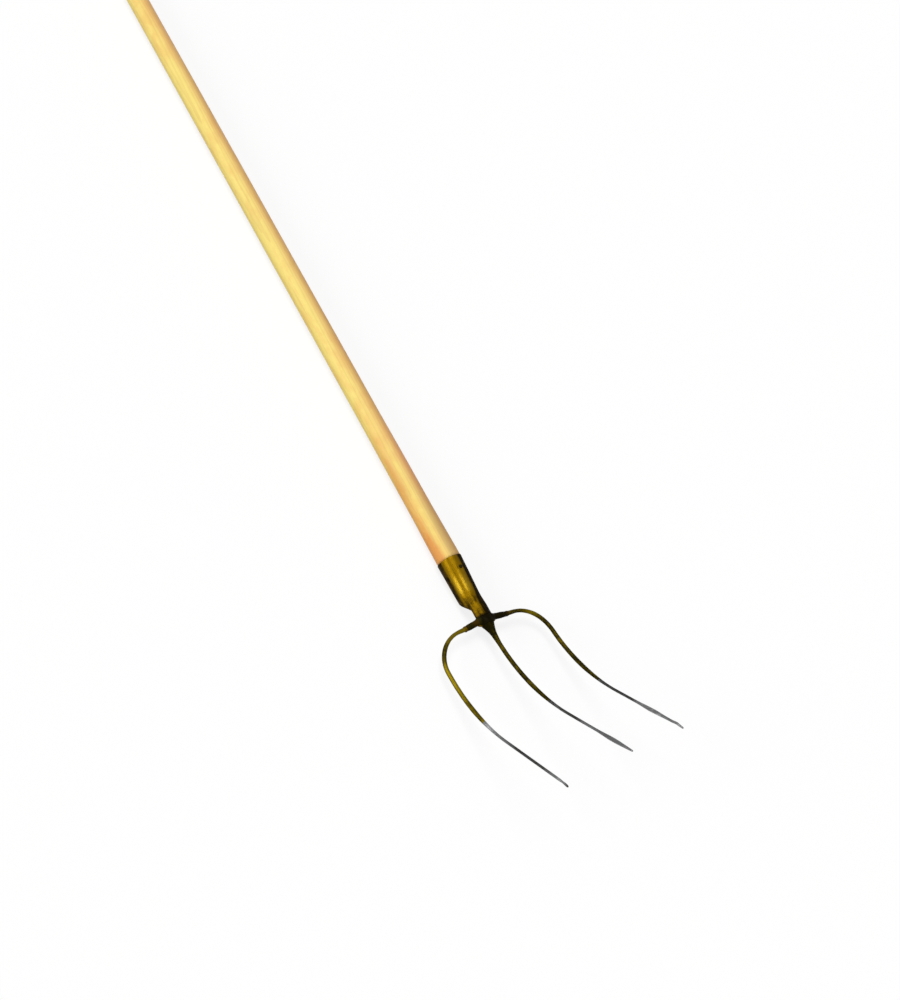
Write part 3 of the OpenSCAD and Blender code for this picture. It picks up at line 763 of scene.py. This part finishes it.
def buildTine(name, tine):
    flip, flatBack, seed = tine["side"], tine["flatBack"], tine["seed"]
    t = tineShape
    if flip:
        planAt, whole, run, full = outerPlan()
        side = t["outer"]
        rootTable = [(0, t["rootDiameter"]), (run + 6, t["waistDiameter"]),
                     (full, t["diameter"])]
    else:
        side = t["centre"]
        whole = side["reach"] - hub["front"]

    def spine(s):
        s = min(s, whole)
        if flip:
            flat = planAt(s)
            low = t["droop"] * max(0, 1 - (whole - s) / t["droopLength"]) ** 2
            low -= tine["hump"] * bell(whole - s, t["humpBack"], t["humpWidth"])
            return Vector((flat.x, flat.y * flip, tineHeight(flat.x, side) - low))
        return Vector((hub["front"] + s, 0, tineHeight(hub["front"] + s, side)))

    def diameter(s):
        x = spine(s).x
        if flip:
            return lookUp(s, rootTable) if s < full else groundDiameter(x)
        if s < t["flareLength"]:
            return t["flareEnd"] + (t["flareDiameter"] - t["flareEnd"]) * (
                1 - s / t["flareLength"]) ** t["flarePower"]
        if s < t["flareLength"] + t["flareRun"]:
            return lookUp(s, [(t["flareLength"], t["flareEnd"]),
                              (t["flareLength"] + t["flareRun"], t["diameter"])])
        return groundDiameter(x)

    count = int(whole / t["step"])
    crowd = 1 if flip else t["rootCrowd"]  # the rings crowd at the centre tine's flare
    stations = [whole * (k / count) ** crowd for k in range(count + 1)]
    tipRadius = t["pointEnd"] / 2
    stations = [s for s in stations if s < whole - tipRadius * 1.2]
    stations += [whole - tipRadius * v for v in (1, 0.7, 0.4, 0.18, 0.04)]
    rings, lay, dark, bare = [], [], [], []
    along = 0
    last = spine(0)
    for s in stations:
        point = spine(s)
        ahead = (spine(min(s + 0.5, whole)) - spine(max(s - 0.5, 0))).normalized()
        if s == 0:
            lean = math.radians(t["lean"])
            ahead = (Vector((math.sin(lean), math.cos(lean) * flip, 0)) if flip
                     else Vector((1, 0, 0)))
        across = Vector((0, 0, 1)).cross(ahead).normalized()
        up = ahead.cross(across)
        along += (point - last).length
        last = point
        back = whole - s
        # The diameter is averaged over a short length, so that no kink shows
        d = sum(diameter(max(0, min(whole, s + e))) for e in (-2.5, -1, 1, 2.5)) / 4
        if s < t["trueRoot"]:
            d = diameter(s)
        if back < t["pointLength"]:
            u = 1 - back / t["pointLength"]
            d += (t["pointEnd"] - d) * u ** t["pointPower"]
        d += tine["knob"] * bell(back, t["knobBack"], t["knobWidth"])
        d -= tine["neck"] * bell(back, t["neckBack"], t["knobWidth"])
        if back < tipRadius:  # a round tip
            d *= math.sqrt(max(0.02, 1 - (1 - back / tipRadius) ** 2))
        swell = 0
        if flatBack and abs(back - flatBack) < t["flatLength"] / 2:
            swell = t["flatExtra"] * (1 + math.cos(2 * math.pi * (back - flatBack)
                                                  / t["flatLength"])) / 2
        pastPaint = point.x - tine["paintEnd"]
        ground = ease(pastPaint / t["paintEdge"] + 0.5)
        forging = t["forging"] + (t["groundForging"] - t["forging"]) * ground
        ring = []
        for a in turns(t["sides"]):
            wave = rough((along, math.cos(a) * 4, math.sin(a) * 4), t["forgingSize"], seed)
            r = 1 - forging / d * (1 + wave) * ease(s / 4) * ease(back / 3)
            cut = facet(a, along, seed + 3, *t["facets"])
            r -= ground * t["facetDepth"] * cut * ease(back / 6)
            r -= ground * t["paintSkin"] * 2 / d
            wide = (d + swell) / 2 * r
            thick = (d - t["flatThin"] * swell) / 2 * r
            ring.append(point + across * wide * math.cos(a) + up * thick * math.sin(a))
            lay.append((along, t["layRadius"] * math.cos(a), t["layRadius"] * math.sin(a)))
            # dark from the table, with painted shade added on the underside
            dark.append(lookUp(s, tine["dark"]) + t["paintedUnderShade"] * max(0, -math.sin(a)))
            bare.append(pastPaint)
        rings.append(ring)
    points, faces = sweep(rings)
    lay += [(0, 0, 0), (along, 0, 0)]
    dark += [dark[0], dark[-1]]
    bare += [bare[0], bare[-1]]
    return makePiece(name, points, faces, lay, dark, bare)


def armEnd(side):
    x = hub["armAhead"]
    return Vector((x, side * hub["armReach"], tineHeight(x, tineShape["outer"])))


def slicePoints(x, radius, height, half, low):
    # A round slice with its sides cut at half and its underside at low
    reach = math.asin(min(1, half / radius))
    points = []
    for k in range(hub["sliceSteps"] + 1):
        a = -reach + 2 * reach * k / hub["sliceSteps"]
        points.append((x, radius * math.sin(a), height + radius * math.cos(a)))
    lowHalf = min(half, math.sqrt(max(0, radius ** 2 - (low - height) ** 2)))
    return points + [(x, lowHalf, low), (x, -lowHalf, low)]


def buildHub():
    form = bmesh.new()

    def hull(points):
        verts = [form.verts.new(place(p)) for p in points]
        made = bmesh.ops.convex_hull(form, input=verts)
        spare = [v for v in made["geom_interior"] + made["geom_unused"]
                 if isinstance(v, bmesh.types.BMVert)]
        bmesh.ops.delete(form, geom=list(set(spare)), context="VERTS")

    def cone(start, end, startRadius, endRadius):
        start, end = place(start), place(end)
        length = (end - start).length
        turn = (end - start).to_track_quat("Z", "Y").to_matrix().to_4x4()
        bmesh.ops.create_cone(form, cap_ends=True, segments=40, radius1=startRadius * mm,
                              radius2=endRadius * mm, depth=length,
                              matrix=Matrix.Translation((start + end) / 2) @ turn)

    # The remesh makes one forging of these forms
    neckBack = socket["tongueBack"]
    skin = hub["skin"]
    neck = (socket["tongueRadius"] - socket["sheet"] - skin, 0, hub["neckHalf"], hub["neckLow"])
    tangBack = hub["tangBack"]
    tangRadius = sheetRadius(tangBack) - socket["sheet"] - hub["tangGap"]
    hull(slicePoints(tangBack, tangRadius, sheetHeight(tangBack), hub["tangHalf"], hub["neckLow"])
         + slicePoints(neckBack, *neck))
    hull(slicePoints(neckBack - hub["neckOverlap"], *neck) + slicePoints(hub["overlap"], *neck))
    frontZ = tineHeight(hub["front"], tineShape["centre"])
    disc = [(hub["front"] - skin, hub["rootRadius"] * math.cos(a),
             frontZ + hub["rootRadius"] * math.sin(a)) for a in turns(32)]
    hull(slicePoints(skin, socket["tongueRadius"] - skin, 0, hub["shoulderHalf"],
                     hub["neckLow"] / 2) + disc)
    for side in (-1, 1):
        start = Vector((hub["armFrom"], 0, hub["rise"]))
        end = armEnd(side)
        way = (end - start).normalized()
        long = (end - start).length
        nose = hub["armNose"]["left" if side > 0 else "right"]
        thick = hub["armRadius"] + hub["armExtra"]
        cone(start, start + way * long / 2, hub["armRootRadius"] + hub["armExtra"], thick)
        cone(start + way * (long / 2 - hub["overlap"]), end - way * nose, thick,
             hub["armRadius"] + hub["noseExtra"])
        cone(end - way * (nose + hub["noseOverlap"]), end, thick,
             hub["armEndRadius"] + hub["endExtra"])
        cone(start + way * hub["filletFrom"], start + way * hub["filletTo"],
             hub["armRootRadius"] + hub["fillet"], hub["armRadius"])
    mesh = bpy.data.meshes.new("hub_forging")
    form.to_mesh(mesh)
    form.free()
    piece = addObject("hub_forging", mesh)
    remesh = piece.modifiers.new("remesh", "REMESH")
    remesh.mode = "VOXEL"
    remesh.voxel_size = hub["voxel"] * mm
    solid = bpy.data.meshes.new_from_object(
        piece.evaluated_get(bpy.context.evaluated_depsgraph_get()))
    piece.modifiers.clear()
    form = bmesh.new()
    form.from_mesh(solid)
    for _ in range(hub["smoothing"]):
        bmesh.ops.smooth_vert(form, verts=form.verts, factor=0.5, use_axis_x=True,
                              use_axis_y=True, use_axis_z=True)
    form.normal_update()
    lay, dark = [], []
    grain = hub["grainShare"]
    for vert in form.verts:
        where = (vert.co - hubPlace) / mm
        wave = rough(where, hub["scaleSize"], 6) + grain * rough(where, hub["grainSize"], 9)
        vert.co += vert.normal * hub["scaleDepth"] * mm * (wave - hub["scaleLevel"])
        vert.co.x = min(vert.co.x, hubPlace.x + (hub["front"] - skin) * mm)
        lay.append(where)
        dark.append(lookUp(abs(where.y), hub["leftDark" if where.y > 0 else "rightDark"]))
    form.to_mesh(mesh)
    form.free()
    bpy.data.meshes.remove(solid)
    prepareMesh(mesh, lay, dark)
    return piece


bead = dict(
    armThick=dict(left=0.4, right=0.8), armLength=3, armGap=0.05, armSides=56, armLumps=9,
    ripple=0.22, rootRadius=2.3, rootPlace=(10.3, 9.6, 5.5), rootRun=(-2, 4.2, 0),
    neckRadius=1.1, neckGap=0.1, neckRings=60, neckSides=20, neckRipples=7, neckRound=0.08,
    neckThick=(0.78, 0.2), armDark=dict(left=0.9, right=0.7), rootDark=0.6, neckDark=0.9)


def buildArmBead(name, side):
    word = "left" if side > 0 else "right"
    lean = math.radians(tineShape["lean"])
    foot = armEnd(side)
    ahead = Vector((math.sin(lean), side * math.cos(lean), 0))
    across = Vector((0, 0, 1)).cross(ahead)
    up = ahead.cross(across)
    inner = hub["armEndRadius"] + bead["armGap"]
    outline = [(0, 0), (0.55, -0.02), (0.86, 0.1), (1, 0.34), (0.92, 0.58), (0.66, 0.82),
               (0.3, 0.97), (0, 1)]
    rings = []
    for a in turns(bead["armSides"]):
        lump = 1 - bead["ripple"] * (0.5 + 0.5 * math.sin(bead["armLumps"] * a + 2 * rough(
            (math.cos(a) * 3, math.sin(a) * 3, side), 3, 4)))
        out = across * math.cos(a) + up * math.sin(a)
        rings.append([foot + ahead * max(0, v) * bead["armLength"]
                      + out * (inner + u * bead["armThick"][word] * lump)
                      for u, v in outline])
    rings.append(rings[0])
    return makePiece(name, *sweep(rings, caps=False), dark=bead["armDark"][word])


def buildRootBead(name, side):
    start, run = [Vector((x, side * y, z)) for x, y, z in (bead["rootPlace"], bead["rootRun"])]
    form = bmesh.new()
    bmesh.ops.create_icosphere(form, subdivisions=4, radius=bead["rootRadius"])
    for vert in form.verts:
        way = vert.co.normalized()
        out = ease(0.5 + 0.6 * way.dot(run.normalized()))
        lump = (1 - 0.10 * (1 + rough(vert.co + run * out, 1.6, 11 + side)) - 0.12 * out
                - 0.05 * math.sin(7 * way.y + 2 * way.x) ** 2)
        vert.co = way * bead["rootRadius"] * lump + run * out
    points = [start + v.co for v in form.verts]
    faces = [[v.index for v in f.verts] for f in form.faces]
    form.free()
    return makePiece(name, points, faces, dark=bead["rootDark"])


def buildNeckBead(name, side):
    r = bead["neckRadius"]
    gap = bead["neckGap"]
    y = hub["neckHalf"] + r + gap
    z = math.sqrt((socket["tongueRadius"] - socket["sheet"] - r - gap) ** 2 - y * y)
    length = -socket["tongueBack"] - 2 * r
    thin, thicker = bead["neckThick"]
    rings = []
    for k in range(bead["neckRings"] + 1):
        u = k / bead["neckRings"]
        x = socket["tongueBack"] + r + length * u
        wave = abs(math.sin(u * math.pi * bead["neckRipples"]))
        past = max(0, abs(u - 0.5) - (0.5 - bead["neckRound"])) / bead["neckRound"]
        end = math.sqrt(max(0.02, 1 - past ** 2))
        radius = r * end * (thin + thicker * wave ** 0.6)
        ring = [(x, side * (y + radius * math.cos(a)), z + radius * math.sin(a))
                for a in turns(bead["neckSides"])]
        rings.append(ring if side > 0 else ring[::-1])
    return makePiece(name, *sweep(rings), dark=bead["neckDark"])


settle(buildHandle(), ashWood, "handle")
settle(buildSocket(), goldLacquer, "socket")
settle(buildNail(), nailIron, "socket_nail")
print("handle, socket and nail built")
settle(buildHub(), hubLacquer, "hub")
print("hub built")
for word, tine in (("left", leftTine), ("centre", centreTine), ("right", rightTine)):
    settle(buildTine("tine_blade_" + word, tine), lacquerAndSteel, "tine_" + word)
for word, side in (("left", 1), ("right", -1)):
    settle(buildArmBead("arm_bead_" + word, side), goldLacquer, "arm_beads")
    settle(buildRootBead("root_bead_" + word, side), goldLacquer, "root_beads")
    settle(buildNeckBead("neck_bead_" + word, side), hubLacquer, "neck_beads")
print("tines and weld beads built")

# Floor, light and camera
studio = dict(
    floorSize=24, floorColour=0.9, floorBounce=0.35, floorGlow=0.72, glowStrength=1.1,
    ambient=0.23, sideFrom=(-0.29, -0.90, 0.33), sideStrength=1.6, sideAngle=30,
    topFrom=(-0.29, -0.24, 0.93), topStrength=1.4, topAngle=30)


def whiteForViews(tree):  # 1 for what the camera, a reflection or a glass sees
    path = put(tree, "ShaderNodeLightPath").outputs
    seen = calculate(tree, "MAXIMUM", path["Is Camera Ray"], path["Is Glossy Ray"])
    return calculate(tree, "MAXIMUM", seen, path["Is Transmission Ray"])


def mixShaders(tree, share, first, second, output):
    both = put(tree, "ShaderNodeMixShader",
               links={0: share, 1: first.outputs[0], 2: second.outputs[0]})
    tree.links.new(both.outputs[0], tree.nodes[output].inputs["Surface"])


def buildStudio():
    half = studio["floorSize"] / 2
    mesh = bpy.data.meshes.new("floor")
    mesh.from_pydata([(-half, -half, 0), (half, -half, 0), (half, half, 0), (-half, half, 0)],
                     [], [(0, 1, 2, 3)])
    addObject("floor", mesh)
    material = bpy.data.materials.new("paleFloor")
    material.use_nodes = True
    tree = material.node_tree
    tree.nodes.remove(tree.nodes["Principled BSDF"])
    seen = whiteForViews(tree)
    bounce, pale = [(studio[key],) * 3 for key in ("floorBounce", "floorColour")]
    plain = put(tree, "ShaderNodeBsdfDiffuse", links={"Color": mixColours(tree, seen, bounce, pale)})
    white = (1, 1, 1, 1)
    glow = put(tree, "ShaderNodeEmission", {"Color": white, "Strength": studio["glowStrength"]})
    share = times(tree, seen, studio["floorGlow"])
    mixShaders(tree, share, plain, glow, "Material Output")
    mesh.materials.append(material)

    world = bpy.data.worlds.new("studioWorld")
    world.use_nodes = True
    scene.world = world
    tree = world.node_tree
    dim = tree.nodes["Background"]
    dim.inputs["Color"].default_value = white
    dim.inputs["Strength"].default_value = studio["ambient"]
    pure = put(tree, "ShaderNodeBackground", {"Color": white, "Strength": 1})
    mixShaders(tree, whiteForViews(tree), dim, pure, "World Output")

    for name in ("side", "top"):
        lamp = bpy.data.lights.new(name + "Light", "SUN")
        lamp.energy = studio[name + "Strength"]
        lamp.angle = math.radians(studio[name + "Angle"])
        holder = addObject(name + "Light", lamp)
        holder.rotation_euler = Vector(studio[name + "From"]).to_track_quat("Z", "Y").to_euler()


buildStudio()

view = dict(
    place=(0.90194, -0.9543, 1.31936), turn=(33.5293, -24.7574, 58.7853), lens=45.06, sensor=36,
    near=0.05, far=60)
camera = addObject("camera", bpy.data.cameras.new("camera"))
camera.data.lens = view["lens"]
camera.data.sensor_width = view["sensor"]
camera.data.clip_start = view["near"]
camera.data.clip_end = view["far"]
camera.location = view["place"]
camera.rotation_euler = [math.radians(v) for v in view["turn"]]
scene.camera = camera
scene.view_settings.view_transform = "Standard"
print("floor, light and camera set")
